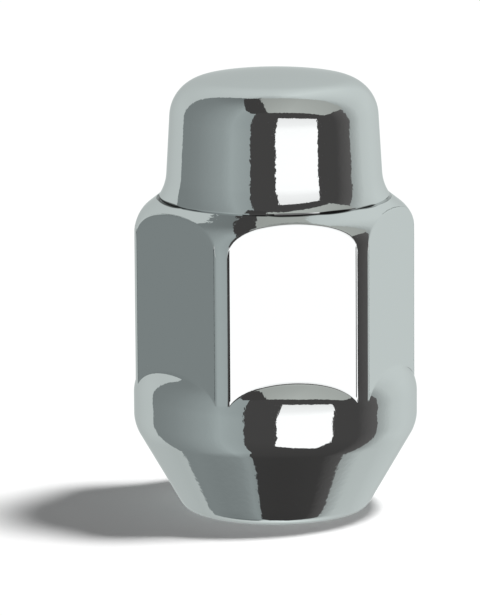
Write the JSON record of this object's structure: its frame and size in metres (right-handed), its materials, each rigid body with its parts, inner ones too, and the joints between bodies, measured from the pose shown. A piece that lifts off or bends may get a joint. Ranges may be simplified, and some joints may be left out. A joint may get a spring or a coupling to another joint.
{
  "type": "lug nut",
  "caption": "Closed-end wheel lug nut with a hexagon, a domed cap, a bulged collar and a conical 60 degree seat, bored blind for a fine-thread wheel stud.",
  "frame": {"origin": "centre of the open end's face, which the nut stands on", "axes": "+Z along the thread's axis, towards the domed cap; one flat of the hexagon faces -Y, and two of its corners lie on the X axis"},
  "size_m": [0.0216, 0.0216, 0.0336],
  "materials": {
    "chrome_plate": "polished bright chrome plate over steel, with the slight waviness of the forging under it"
  },
  "bodies": {
    "root": {"lug_nut": "chrome_plate"}
  },
  "joints": []
}
